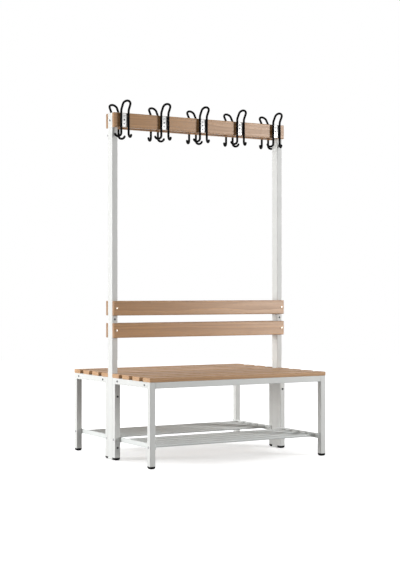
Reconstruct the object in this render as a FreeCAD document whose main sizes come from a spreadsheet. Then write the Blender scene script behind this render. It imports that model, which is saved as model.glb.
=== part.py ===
import FreeCAD, Part
import math
import os
import Sketcher
from FreeCAD import Placement, Rotation, Vector

# Driving sizes of the bench in millimetres
SIZES = (
    ("bench_length", 1015, "length of the boards and of the frame"),
    ("bench_depth", 400, "post face to seat edge, one bench"),
    ("seat_height", 430, "floor to the top of the slats"),
    ("board_width", 73, "width of every board"),
    ("board_thickness", 20, "thickness of every board"),
    ("board_edge", 4, "rounding of the long board edges"),
    ("slat_count", 4, "slats in one seat"),
    ("tube_size", 30, "outer size of the frame tube"),
    ("tube_wall", 1.5, "wall of the frame tube"),
    ("tube_corner", 2, "corner bevel of the tubes"),
    ("post_depth", 50, "depth of the post tube"),
    ("post_height", 1730, "floor to the top of the posts"),
    ("cap_thickness", 3, "flange of the post caps"),
    ("plug_length", 20, "length of the plugs inside the tubes"),
    ("foot_height", 13, "visible height of a foot"),
    ("foot_taper_height", 7, "height of the tapered foot bottom"),
    ("foot_base", 17.4, "width of a foot on the floor"),
    ("flange_length", 70, "length of a long rail flange"),
    ("flange_thickness", 5, "thickness of a long rail flange"),
    ("frame_bolt_inset", 56, "bench edge to frame bolt"),
    ("rack_height", 103, "floor to the middle of the shoe rack"),
    ("rack_rail_height", 25, "height of the flat rack end rails"),
    ("rack_rail_thickness", 5, "thickness of the flat rack end rails"),
    ("rack_end_inset", 5, "leg face to the end of a rack end rail"),
    ("rack_bar_diameter", 16, "outer diameter of a rack bar"),
    ("rack_bar_wall", 1, "wall of a rack bar"),
    ("rack_bar_count", 5, "bars in one rack"),
    ("rack_bar_pitch", 69, "spacing of the rack bars"),
    ("rack_bar_shift", 7, "bar group ahead of the middle of the bench"),
    ("upper_back_height", 755.5, "middle of the upper backrest board"),
    ("lower_back_height", 644.5, "middle of the lower backrest board"),
    ("post_bolt_low", 63, "height of the lower post bolt"),
    ("post_bolt_high", 317, "height of the upper post bolt"),
    ("post_plug_height", 700, "height of the plugs in the posts"),
    ("bolt_diameter", 6, "shank of the frame and post bolts"),
    ("bolt_head", 10.5, "head diameter of these bolts"),
    ("bolt_head_height", 3.3, "head height of these bolts"),
    ("nut_across", 11.5, "nut size over the corners"),
    ("nut_thickness", 5, "thickness of a nut"),
    ("bolt_end", 1.5, "bolt end past its nut, flange or rail"),
    ("rack_bolt_diameter", 6, "shank of a rack bolt"),
    ("rack_bolt_head", 11, "head diameter of a rack bolt"),
    ("screw_diameter", 5, "shank of the board and slat screws"),
    ("screw_head", 11, "head diameter of these screws"),
    ("screw_head_height", 3, "head height of these screws"),
    ("screw_bite", 13, "length of a screw in its far piece"),
    ("plug_cap", 11, "cap diameter of a post plug"),
    ("plug_cap_height", 1.5, "cap height of a post plug"),
    ("bracket_depth", 40, "reach of a hook board bracket along the boards"),
    ("bracket_height", 44, "height of a hook board bracket"),
    ("bracket_wall", 3, "thickness of a hook board bracket"),
    ("bracket_screw_inset", 15, "post face to the bracket screw"),
    ("hook_count", 5, "hooks on one side"),
    ("hook_inset", 55, "board end to the middle of the first hook"),
    ("hook_wire", 10, "diameter of the coated hook wire"),
    ("hook_wire_spacing", 41, "spacing of the two wires of a hook"),
    ("hook_bend_height", 41, "start of the forward bend above the board middle"),
    ("hook_bend_radius", 25, "radius of the forward bend"),
    ("hook_bend_angle", 35, "forward lean of the top loop"),
    ("hook_reach", 25.6, "straight run between bend and loop"),
    ("hook_curl_depth", 66, "start of the end curl below the board middle"),
    ("hook_curl_radius", 16, "radius of an end curl"),
    ("hook_curl_angle", 162, "sweep of an end curl"),
    ("hook_curl_back", 36, "backward turn of the curls in plan"),
    ("hook_plate_width", 44, "width of a hook plate"),
    ("hook_plate_height", 68, "height of a hook plate"),
    ("hook_plate_thickness", 5, "thickness of a hook plate"),
    ("gap", 0.3, "clearance between round faces"),
)

# Positions that follow from the driving sizes
END_FACE = "(Sizes.bench_length / 2)"
LEG_X = "((Sizes.bench_length - Sizes.tube_size) / 2)"
INNER_FACE_X = "(Sizes.bench_length / 2 - Sizes.tube_size)"
POST_FACE_Y = "(Sizes.post_depth / 2)"
BOARD_FACE_Y = "(Sizes.post_depth / 2 + Sizes.board_thickness)"
BOARD_Y = "((Sizes.post_depth + Sizes.board_thickness) / 2)"
INNER_LEG_Y = "((Sizes.post_depth + Sizes.tube_size) / 2)"
BENCH_Y = "((Sizes.post_depth + Sizes.bench_depth) / 2)"
OUTER_LEG_Y = "(Sizes.post_depth / 2 + Sizes.bench_depth - Sizes.tube_size / 2)"
FRAME_TOP = "(Sizes.seat_height - Sizes.board_thickness)"
RAIL_Z = "(Sizes.seat_height - Sizes.board_thickness - Sizes.tube_size / 2)"
RAIL_BOTTOM = "(Sizes.seat_height - Sizes.board_thickness - Sizes.tube_size)"
HOOK_BOARD_Z = "(Sizes.post_height - Sizes.board_width / 2)"
SLAT_PITCH = "((Sizes.bench_depth - Sizes.board_width) / (Sizes.slat_count - 1))"
HOOK_PITCH = "((Sizes.bench_length - 2 * Sizes.hook_inset) / (Sizes.hook_count - 1))"
FIRST_HOOK_X = "(Sizes.bench_length / 2 - Sizes.hook_inset)"
FRAME_BOLT_OFFSET = "(Sizes.bench_depth / 2 - Sizes.frame_bolt_inset)"
RACK_FACE_X = "(Sizes.bench_length / 2 - Sizes.tube_size - Sizes.rack_rail_thickness)"
BRACKET_SCREW_X = "(Sizes.bench_length / 2 - Sizes.tube_size - Sizes.bracket_screw_inset)"
BOLT_HOLE = "(Sizes.bolt_diameter + 2 * Sizes.gap)"
RACK_BOLT_HOLE = "(Sizes.rack_bolt_diameter + 2 * Sizes.gap)"
SCREW_HOLE = "(Sizes.screw_diameter + 2 * Sizes.gap)"

ORIGIN = (-1, 1)
ACROSS_AXIS = -1
UP_AXIS = -2
START, END = 1, 2
# Flats and chords that stand in for small round sections, edges and bends
BORE_SIDES = 6
HEAD_SIDES = 8
BAR_SIDES = 10
WIRE_SIDES = 8
EDGE_FLATS = 2
CURL_CHORDS = 5
BEND_CHORDS = 2
LOOP_CHORDS = 6
MITRED = 1
SIDES = (("front", -1, 0), ("rear", 1, 180))
ENDS = (("left", -1), ("right", 1))

doc = FreeCAD.newDocument("cloakroom_bench")
sheet = doc.addObject("Spreadsheet::Sheet", "Sizes")
for row, (alias, amount, note) in enumerate(SIZES, start=1):
    sheet.set(f"A{row}", note)
    sheet.set(f"B{row}", str(amount))
    sheet.setAlias(f"B{row}", alias)
doc.recompute()

nodes = []


def number(expression):
    """The value of an expression in the sheet's sizes."""
    return float(sheet.evalExpression(expression))


def origin_item(body, role):
    """The body's own origin plane or axis with this role."""
    return next(item for item in body.Origin.OriginFeatures if item.Role == role)


def new_body(label, x="0", y="0", z="0", turn=0):
    """A named body at a position in the frame, turned about the upright axis."""
    body = doc.addObject("PartDesign::Body", label)
    body.Label = label
    body.Placement = Placement(Vector(0, 0, 0), Rotation(Vector(0, 0, 1), turn))
    for axis, expression in (("x", x), ("y", y), ("z", z)):
        if expression != "0":
            body.setExpression(f".Placement.Base.{axis}", expression)
    nodes.append(body)
    return body


def new_feature(body, kind, name):
    """A solid feature that becomes the body's tip."""
    feature = body.newObject(f"PartDesign::{kind}", f"{body.Name}_{name}")
    body.Tip = feature
    return feature


def new_sketch(body, name, plane, offset=("0", "0", "0")):
    """A sketch on one of the body's origin planes, moved by an offset in that plane's axes."""
    sketch = body.newObject("Sketcher::SketchObject", f"{body.Name}_{name}")
    sketch.AttachmentSupport = [(origin_item(body, plane), "")]
    sketch.MapMode = "FlatFace"
    for axis, expression in zip("xyz", offset):
        if expression != "0":
            sketch.setExpression(f".AttachmentOffset.Base.{axis}", expression)
    return sketch


def join(sketch, kind, *items):
    """Adds one constraint."""
    return sketch.addConstraint(Sketcher.Constraint(kind, *items))


def measure(sketch, kind, items, name, expression):
    """Adds a named dimension that follows an expression."""
    index = join(sketch, kind, *items, number(expression))
    sketch.renameConstraint(index, name)
    sketch.setExpression(f"Constraints.{name}", expression)


def locate(sketch, point, name, across, up):
    """Ties a point to its distances from the sketch's origin."""
    ties = (("DistanceX", UP_AXIS, across), ("DistanceY", ACROSS_AXIS, up))
    for kind, axis, expression in ties:
        if expression == "0":
            join(sketch, "PointOnObject", *point, axis)
        else:
            measure(sketch, kind, (*ORIGIN, *point), f"{name}{kind[-1]}", expression)


def soft_rectangle(sketch, across, up, corner, flats=1, name="Outer"):
    """A rectangle about the sketch's origin, each corner softened by a few flats."""
    corners = []
    for quarter, (way_x, way_y) in enumerate(((1, -1), (1, 1), (-1, 1), (-1, -1))):
        for step in range(flats + 1):
            angle = math.radians(90 * (step / flats + quarter - 1))
            short_x = round(1 - abs(math.cos(angle)), 6)
            short_y = round(1 - abs(math.sin(angle)), 6)
            corners.append((
                f"{way_x} * ({across} / 2 - {short_x} * {corner})",
                f"{way_y} * ({up} / 2 - {short_y} * {corner})",
            ))
    polygon(sketch, corners, name)


def polygon(sketch, corners, name="Outer"):
    """A closed outline through corners given as pairs of expressions."""
    points = [Vector(number(across), number(up), 0) for across, up in corners]
    lines = []
    for index, point in enumerate(points):
        segment = Part.LineSegment(point, points[(index + 1) % len(points)])
        lines.append(sketch.addGeometry(segment))
    for index, line in enumerate(lines):
        join(sketch, "Coincident", line, END, lines[(index + 1) % len(lines)], START)
        locate(sketch, (line, START), f"{name}{index}", *corners[index])


def round_outline(sketch, name, across, up, diameter, sides):
    """A round section at a pair of expressions, drawn with a number of flats."""
    corners = []
    for step in range(sides):
        angle = 2 * math.pi * (step + 0.5) / sides
        corners.append((
            f"({across} + {round(math.cos(angle) / 2, 6)} * {diameter})",
            f"({up} + {round(math.sin(angle) / 2, 6)} * {diameter})",
        ))
    polygon(sketch, corners, name)


def pad(body, name, sketch, length, centred=False, reverse=False):
    """Extrudes a sketch, from its plane or to both sides of it."""
    feature = new_feature(body, "Pad", name)
    feature.Profile = sketch
    feature.setExpression("Length", length)
    feature.Reversed = reverse
    if centred:
        feature.SideType = "Symmetric"
    return feature


def tube(body, plane, across, up, wall, corner, length, centred=True):
    """A rectangular tube about the body's origin, along the normal of a plane."""
    section = new_sketch(body, "section", plane)
    soft_rectangle(section, across, up, corner)
    inside_x = f"(({across}) / 2 - {wall})"
    inside_y = f"(({up}) / 2 - {wall})"
    polygon(section, (
        (f"-{inside_x}", f"-{inside_y}"), (inside_x, f"-{inside_y}"),
        (inside_x, inside_y), (f"-{inside_x}", inside_y),
    ), "Inner")
    return pad(body, "tube", section, length, centred)


def board(body, across, up):
    """A board along X with rounded long edges."""
    section = new_sketch(body, "section", "YZ_Plane")
    soft_rectangle(section, across, up, "Sizes.board_edge", EDGE_FLATS)
    return pad(body, "board", section, "Sizes.bench_length", centred=True)


def drill(body, name, plane, diameter, spots, depth=None, offset="0", reverse=False):
    """Round holes at spots of a plane, right through the body or to a depth from an offset."""
    sketch = new_sketch(body, f"{name}_spots", plane, ("0", "0", offset))
    for index, (across, up) in enumerate(spots):
        round_outline(sketch, f"Hole{index}n", across, up, diameter, BORE_SIDES)
    feature = new_feature(body, "Pocket", name)
    feature.Profile = sketch
    feature.Reversed = reverse
    if depth is None:
        feature.Type = "ThroughAll"
        feature.SideType = "Symmetric"
    else:
        feature.setExpression("Length", depth)
    return feature


def row(body, name, axis, count, pitch, originals=None, reverse=False):
    """Repeats features, or else the whole body as it stands, along an axis."""
    doc.recompute()
    feature = new_feature(body, "LinearPattern", name)
    if originals:
        feature.Originals = originals
    else:
        feature.TransformMode = "Whole shape"
    feature.Direction = (origin_item(body, axis), [""])
    feature.Mode = "Spacing"
    feature.setExpression("Offset", pitch)
    feature.setExpression("Occurrences", count)
    feature.Reversed = reverse
    return feature


def mirror(body, name, plane, originals=None):
    """Mirrors features, or else the whole body as it stands, about one of its origin planes."""
    doc.recompute()
    feature = new_feature(body, "Mirrored", name)
    if originals:
        feature.Originals = originals
    else:
        feature.TransformMode = "Whole shape"
    feature.MirrorPlane = (origin_item(body, plane), [""])
    return feature


def fastener(body, name, plane, place, head, head_height, shank, length, flip=False):
    """A screw or bolt along the normal of a plane, its head ending at the seat."""
    across, up, seat = place
    parts = []
    for part_name, diameter, reach, sides, back in (
        ("shank", shank, length, BORE_SIDES, flip),
        ("head", head, head_height, HEAD_SIDES, not flip),
    ):
        sketch = new_sketch(body, f"{name}_{part_name}_outline", plane, ("0", "0", seat))
        round_outline(sketch, "Round", across, up, diameter, sides)
        parts.append(pad(body, f"{name}_{part_name}", sketch, reach, reverse=back))
    return parts


def nut(body, name, plane, place, reverse=False):
    """A hexagon nut with its bore, from a seat on a plane."""
    across, up, seat = place
    sketch = new_sketch(body, f"{name}_outline", plane, ("0", "0", seat))
    round_outline(sketch, "Outer", across, up, "Sizes.nut_across", BORE_SIDES)
    round_outline(sketch, "Bore", across, up, BOLT_HOLE, BORE_SIDES)
    return pad(body, name, sketch, "Sizes.nut_thickness", reverse=reverse)


# Bench frames: legs, end rails and long rails
slat_steps = range(int(number("Sizes.slat_count")))
slat_offsets = [f"({step} - (Sizes.slat_count - 1) / 2) * {SLAT_PITCH}" for step in slat_steps]
leg_length = f"({FRAME_TOP} - Sizes.foot_height)"
rack_bolt_up = "(Sizes.rack_height - Sizes.foot_height)"
post_bolts_up = [f"(Sizes.post_bolt_{level} - Sizes.foot_height)" for level in ("low", "high")]
for side_name, side_sign, turn in SIDES:
    for end_name, end_sign in ENDS:
        for leg_name, leg_y in (("outer", OUTER_LEG_Y), ("inner", INNER_LEG_Y)):
            leg = new_body(
                f"{side_name}_{leg_name}_leg_{end_name}",
                f"{end_sign} * {LEG_X}", f"{side_sign} * {leg_y}", "Sizes.foot_height",
            )
            tube(leg, "XY_Plane", "Sizes.tube_size", "Sizes.tube_size", "Sizes.tube_wall",
                 "Sizes.tube_corner", leg_length, centred=False)
            drill(leg, "rack_bolt_hole", "YZ_Plane", RACK_BOLT_HOLE, [("0", rack_bolt_up)])
            if leg_name == "inner":
                drill(leg, "post_bolt_holes", "XZ_Plane", BOLT_HOLE,
                      [("0", height) for height in post_bolts_up])

        end_rail = new_body(
            f"{side_name}_end_rail_{end_name}",
            f"{end_sign} * {LEG_X}", f"{side_sign} * {BENCH_Y}", RAIL_Z,
        )
        tube(end_rail, "XZ_Plane", "Sizes.tube_size", "Sizes.tube_size", "Sizes.tube_wall",
             "Sizes.tube_corner", "(Sizes.bench_depth - 2 * Sizes.tube_size)")
        drill(end_rail, "bolt_holes", "YZ_Plane", BOLT_HOLE,
              [(f"-{FRAME_BOLT_OFFSET}", "0"), (FRAME_BOLT_OFFSET, "0")])
        drill(end_rail, "slat_holes", "XY_Plane", SCREW_HOLE, [("0", offset) for offset in slat_offsets])

    long_rails = (("outer", OUTER_LEG_Y, turn), ("inner", INNER_LEG_Y, 180 - turn))
    for rail_name, rail_y, rail_turn in long_rails:
        rail = new_body(
            f"{side_name}_{rail_name}_long_rail", "0", f"{side_sign} * {rail_y}", RAIL_Z, rail_turn
        )
        rail_length = f"(2 * ({INNER_FACE_X} - Sizes.flange_thickness))"
        tube(rail, "YZ_Plane", "Sizes.tube_size", "Sizes.tube_size", "Sizes.tube_wall",
             "Sizes.tube_corner", rail_length)
        flange_sketch = new_sketch(rail, "flange_outline", "YZ_Plane", ("0", "0", INNER_FACE_X))
        near = "-(Sizes.tube_size / 2)"
        far = "(Sizes.flange_length - Sizes.tube_size / 2)"
        half = "(Sizes.tube_size / 2)"
        polygon(flange_sketch, ((near, near), (far, near), (far, half), (near, half)))
        flange = pad(rail, "flange", flange_sketch, "Sizes.flange_thickness", reverse=True)
        mirror(rail, "far_flange", "YZ_Plane", [flange])
        drill(rail, "bolt_hole", "YZ_Plane", BOLT_HOLE,
              [("(Sizes.frame_bolt_inset - Sizes.tube_size / 2)", "0")])

# Seat slats with blind screw holes below
for side_name, side_sign, _ in SIDES:
    for step, offset in zip(slat_steps, slat_offsets):
        slat = new_body(f"{side_name}_slat_{step + 1}", "0", f"{side_sign} * ({BENCH_Y} + {offset})",
                        "(Sizes.seat_height - Sizes.board_thickness / 2)")
        board(slat, "Sizes.board_width", "Sizes.board_thickness")
        drill(slat, "screw_holes", "XY_Plane", SCREW_HOLE, [(f"-{LEG_X}", "0"), (LEG_X, "0")],
              "(Sizes.screw_bite + 2 * Sizes.gap)", "-(Sizes.board_thickness / 2)", reverse=True)

# Posts and their end caps
back_heights = ("Sizes.lower_back_height", "Sizes.upper_back_height")
for end_name, end_sign in ENDS:
    post = new_body(f"post_{end_name}", f"{end_sign} * {LEG_X}", "0", "Sizes.cap_thickness")
    tube(post, "XY_Plane", "Sizes.tube_size", "Sizes.post_depth", "Sizes.tube_wall",
         "Sizes.tube_corner", "(Sizes.post_height - 2 * Sizes.cap_thickness)", centred=False)
    drill(post, "bolt_holes", "XZ_Plane", BOLT_HOLE,
          [("0", f"({height} - Sizes.cap_thickness)")
           for height in ("Sizes.post_bolt_low", "Sizes.post_bolt_high", "Sizes.post_plug_height")])
    drill(post, "screw_holes", "XZ_Plane", SCREW_HOLE,
          [("0", f"({height} - Sizes.cap_thickness)") for height in back_heights])
    drill(post, "bracket_hole", "YZ_Plane", BOLT_HOLE, [("0", f"({HOOK_BOARD_Z} - Sizes.cap_thickness)")])

caps = new_body("post_end_caps")
inside_x = "(Sizes.tube_size - 2 * Sizes.tube_wall - 2 * Sizes.gap)"
inside_y = "(Sizes.post_depth - 2 * Sizes.tube_wall - 2 * Sizes.gap)"
cap_levels = (
    ("bottom", "0", "Sizes.cap_thickness"),
    ("top", "(Sizes.post_height - Sizes.cap_thickness)",
     "(Sizes.post_height - Sizes.cap_thickness - Sizes.plug_length)"),
)
for level, flange_z, plug_z in cap_levels:
    cap_sketch = new_sketch(caps, f"{level}_flange_outline", "XY_Plane", (f"-{LEG_X}", "0", flange_z))
    soft_rectangle(cap_sketch, "Sizes.tube_size", "Sizes.post_depth", "Sizes.tube_corner")
    pad(caps, f"{level}_flange", cap_sketch, "Sizes.cap_thickness")
    plug_sketch = new_sketch(caps, f"{level}_plug_outline", "XY_Plane", (f"-{LEG_X}", "0", plug_z))
    soft_rectangle(plug_sketch, inside_x, inside_y, "Sizes.tube_wall")
    pad(caps, f"{level}_plug", plug_sketch, "Sizes.plug_length")
row(caps, "ends", "X_Axis", "2", f"(2 * {LEG_X})")

# Backrest boards and hook boards
for side_name, side_sign, turn in SIDES:
    for level, height in zip(("lower", "upper"), back_heights):
        back = new_body(f"{side_name}_{level}_back_board", "0", f"{side_sign} * {BOARD_Y}", height, turn)
        board(back, "Sizes.board_thickness", "Sizes.board_width")
        drill(back, "screw_holes", "XZ_Plane", SCREW_HOLE, [(f"-{LEG_X}", "0"), (LEG_X, "0")])

    hook_board = new_body(f"{side_name}_hook_board", "0", f"{side_sign} * {BOARD_Y}", HOOK_BOARD_Z, turn)
    board(hook_board, "Sizes.board_thickness", "Sizes.board_width")
    bracket_spots = [(f"-{BRACKET_SCREW_X}", "0"), (BRACKET_SCREW_X, "0")]
    drill(hook_board, "bracket_holes", "XZ_Plane", SCREW_HOLE, bracket_spots,
          "(Sizes.screw_bite + 2 * Sizes.gap)", "-(Sizes.board_thickness / 2)", reverse=True)

# Brackets between the hook boards, bent from plate
brackets = new_body("hook_board_brackets", "0", "0", HOOK_BOARD_Z)
bracket_sketch = new_sketch(brackets, "section", "XY_Plane")
root = f"-{INNER_FACE_X}"
web = f"(Sizes.bracket_wall - {INNER_FACE_X})"
lip = f"(Sizes.bracket_depth - {INNER_FACE_X})"
inside = f"({POST_FACE_Y} - Sizes.bracket_wall)"
polygon(bracket_sketch, (
    (root, f"-{POST_FACE_Y}"), (lip, f"-{POST_FACE_Y}"), (lip, f"-{inside}"), (web, f"-{inside}"),
    (web, inside), (lip, inside), (lip, POST_FACE_Y), (root, POST_FACE_Y),
))
pad(brackets, "channel", bracket_sketch, "Sizes.bracket_height", centred=True)
mirror(brackets, "ends", "YZ_Plane")
drill(brackets, "bolt_holes", "YZ_Plane", BOLT_HOLE, [("0", "0")])
drill(brackets, "screw_holes", "XZ_Plane", SCREW_HOLE, bracket_spots)

# Shoe racks: flat end rails and the round bars between them
rack_across = "(Sizes.rack_rail_thickness / 2)"
rack_up = "(Sizes.rack_rail_height / 2)"
for side_name, side_sign, turn in SIDES:
    for end_name, end_sign in ENDS:
        rack_x = f"{end_sign} * ({INNER_FACE_X} - {rack_across})"
        rack_rail = new_body(f"{side_name}_rack_rail_{end_name}", rack_x, f"{side_sign} * {BENCH_Y}",
                             "Sizes.rack_height")
        rack_sketch = new_sketch(rack_rail, "section", "XZ_Plane")
        polygon(rack_sketch, (
            (f"-{rack_across}", f"-{rack_up}"), (rack_across, f"-{rack_up}"),
            (rack_across, rack_up), (f"-{rack_across}", rack_up),
        ))
        pad(rack_rail, "bar", rack_sketch, "(Sizes.bench_depth - 2 * Sizes.rack_end_inset)", centred=True)
        bolt_y = "((Sizes.bench_depth - Sizes.tube_size) / 2)"
        drill(rack_rail, "bolt_holes", "YZ_Plane", RACK_BOLT_HOLE,
              [(f"-{bolt_y}", "0"), (bolt_y, "0")])

    bars_y = f"{side_sign} * ({BENCH_Y} + Sizes.rack_bar_shift)"
    bars = new_body(f"{side_name}_rack_bars", "0", bars_y, "Sizes.rack_height", turn)
    first_bar = "-((Sizes.rack_bar_count - 1) / 2 * Sizes.rack_bar_pitch)"
    bar_sketch = new_sketch(bars, "section", "YZ_Plane", (first_bar, "0", "0"))
    round_outline(bar_sketch, "Outer", "0", "0", "Sizes.rack_bar_diameter", BAR_SIDES)
    bore_diameter = "(Sizes.rack_bar_diameter - 2 * Sizes.rack_bar_wall)"
    round_outline(bar_sketch, "Inner", "0", "0", bore_diameter, BAR_SIDES)
    bar = pad(bars, "bar", bar_sketch, f"(2 * {RACK_FACE_X})", centred=True)
    row(bars, "bars", "Y_Axis", "Sizes.rack_bar_count", "Sizes.rack_bar_pitch", [bar])

# Feet, tapered below, with a plug inside the leg
feet = new_body("feet")
foot_outlines = []
for name, level, width, corner in (
    ("base", "0", "Sizes.foot_base", "Sizes.tube_corner"),
    ("pad", "Sizes.foot_taper_height", "Sizes.tube_size", "Sizes.tube_corner"),
    ("plug", "Sizes.foot_height", inside_x, "Sizes.tube_wall"),
):
    foot_place = (f"-{LEG_X}", f"-{OUTER_LEG_Y}", level)
    foot_sketch = new_sketch(feet, f"{name}_outline", "XY_Plane", foot_place)
    soft_rectangle(foot_sketch, width, width, corner)
    foot_outlines.append(foot_sketch)
base_outline, pad_outline, plug_outline = foot_outlines
pad(feet, "pad", pad_outline, "(Sizes.foot_height - Sizes.foot_taper_height)")
taper = new_feature(feet, "AdditiveLoft", "taper")
taper.Profile = base_outline
taper.Sections = [pad_outline]
taper.Ruled = True
pad(feet, "plug", plug_outline, "Sizes.plug_length")
row(feet, "ends", "X_Axis", "2", f"(2 * {LEG_X})")
row(feet, "pairs", "Y_Axis", "2", "(Sizes.bench_depth - Sizes.tube_size)")
row(feet, "benches", "Y_Axis", "2", "(Sizes.bench_depth + Sizes.post_depth)")

# Bolts of the frames, threaded into the flanges
frame_bolts = new_body("frame_bolts")
frame_bolt_y = f"({BENCH_Y} + {FRAME_BOLT_OFFSET})"
fastener(frame_bolts, "bolt", "YZ_Plane", (f"-{frame_bolt_y}", RAIL_Z, f"-{END_FACE}"),
         "Sizes.bolt_head", "Sizes.bolt_head_height", "Sizes.bolt_diameter",
         "(Sizes.tube_size + Sizes.flange_thickness + Sizes.bolt_end)")
row(frame_bolts, "pairs", "Y_Axis", "2", f"(2 * {FRAME_BOLT_OFFSET})")
mirror(frame_bolts, "ends", "YZ_Plane")
mirror(frame_bolts, "benches", "XZ_Plane")

# Bolts through the posts and the inner legs, and the bracket bolts above
post_bolts = new_body("post_bolts")
leg_face_y = "(Sizes.post_depth / 2 + Sizes.tube_size)"
nut_end = "(Sizes.nut_thickness + Sizes.bolt_end)"
through = fastener(post_bolts, "bolt", "XZ_Plane", (f"-{LEG_X}", "Sizes.post_bolt_low", leg_face_y),
                   "Sizes.bolt_head", "Sizes.bolt_head_height", "Sizes.bolt_diameter",
                   f"(2 * {leg_face_y} + {nut_end})", flip=True)
post_nut = nut(post_bolts, "nut", "XZ_Plane",
               (f"-{LEG_X}", "Sizes.post_bolt_low", f"-{leg_face_y}"), reverse=True)
row(post_bolts, "levels", "Z_Axis", "2", "(Sizes.post_bolt_high - Sizes.post_bolt_low)",
    [*through, post_nut])
bracket_stack = "(Sizes.tube_size + Sizes.bracket_wall)"
fastener(post_bolts, "bracket_bolt", "YZ_Plane", ("0", HOOK_BOARD_Z, f"-{END_FACE}"),
         "Sizes.bolt_head", "Sizes.bolt_head_height", "Sizes.bolt_diameter",
         f"({bracket_stack} + {nut_end})")
nut(post_bolts, "bracket_nut", "YZ_Plane", ("0", HOOK_BOARD_Z, f"({bracket_stack} - {END_FACE})"))
mirror(post_bolts, "ends", "YZ_Plane")

# Rack bolts through the legs, threaded into the flat rails
rack_bolts = new_body("rack_bolts")
fastener(rack_bolts, "bolt", "YZ_Plane", (f"-{OUTER_LEG_Y}", "Sizes.rack_height", f"-{END_FACE}"),
         "Sizes.rack_bolt_head", "Sizes.screw_head_height", "Sizes.rack_bolt_diameter",
         "(Sizes.tube_size + Sizes.rack_rail_thickness + Sizes.bolt_end)")
row(rack_bolts, "pairs", "Y_Axis", "2", "(Sizes.bench_depth - Sizes.tube_size)")
mirror(rack_bolts, "ends", "YZ_Plane")
mirror(rack_bolts, "benches", "XZ_Plane")

# Slat screws from below through the end rails
slat_screws = new_body("slat_screws")
outer_slat_y = f"-({BENCH_Y} + {slat_offsets[-1]})"
fastener(slat_screws, "screw", "XY_Plane", (f"-{LEG_X}", outer_slat_y, RAIL_BOTTOM),
         "Sizes.screw_head", "Sizes.screw_head_height", "Sizes.screw_diameter",
         "(Sizes.tube_size + Sizes.screw_bite)")
row(slat_screws, "slats", "Y_Axis", "Sizes.slat_count", SLAT_PITCH)
row(slat_screws, "ends", "X_Axis", "2", f"(2 * {LEG_X})")
row(slat_screws, "benches", "Y_Axis", "2", "(Sizes.bench_depth + Sizes.post_depth)")

# Screws of the backrest boards and of the brackets
board_screws = new_body("board_screws")
back_screw = fastener(board_screws, "back_screw", "XZ_Plane",
                      (f"-{LEG_X}", "Sizes.lower_back_height", BOARD_FACE_Y),
                      "Sizes.screw_head", "Sizes.screw_head_height", "Sizes.screw_diameter",
                      "(Sizes.board_thickness + Sizes.screw_bite)", flip=True)
row(board_screws, "levels", "Z_Axis", "2", "(Sizes.upper_back_height - Sizes.lower_back_height)",
    back_screw)
fastener(board_screws, "bracket_screw", "XZ_Plane", (f"-{BRACKET_SCREW_X}", HOOK_BOARD_Z, f"-{inside}"),
         "Sizes.screw_head", "Sizes.screw_head_height", "Sizes.screw_diameter",
         "(Sizes.bracket_wall + Sizes.screw_bite)", flip=True)
mirror(board_screws, "ends", "YZ_Plane")
mirror(board_screws, "sides", "XZ_Plane")

# Plugs in the posts between the backrest boards
post_plugs = new_body("post_plugs")
fastener(post_plugs, "plug", "XZ_Plane", (f"-{LEG_X}", "Sizes.post_plug_height", POST_FACE_Y),
         "Sizes.plug_cap", "Sizes.plug_cap_height", "Sizes.bolt_diameter", "Sizes.bolt_diameter",
         flip=True)
row(post_plugs, "ends", "X_Axis", "2", f"(2 * {LEG_X})")
mirror(post_plugs, "sides", "XZ_Plane")

# Hook plates
for side_name, side_sign, turn in SIDES:
    plates = new_body(f"{side_name}_hook_plates", f"{side_sign} * {FIRST_HOOK_X}",
                      f"{side_sign} * {BOARD_FACE_Y}", HOOK_BOARD_Z, turn)
    plate_sketch = new_sketch(plates, "outline", "XZ_Plane")
    soft_rectangle(plate_sketch, "Sizes.hook_plate_width", "Sizes.hook_plate_height", "Sizes.tube_corner")
    pad(plates, "plate", plate_sketch, "Sizes.hook_plate_thickness")
    row(plates, "plates", "X_Axis", "Sizes.hook_count", HOOK_PITCH)


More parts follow.
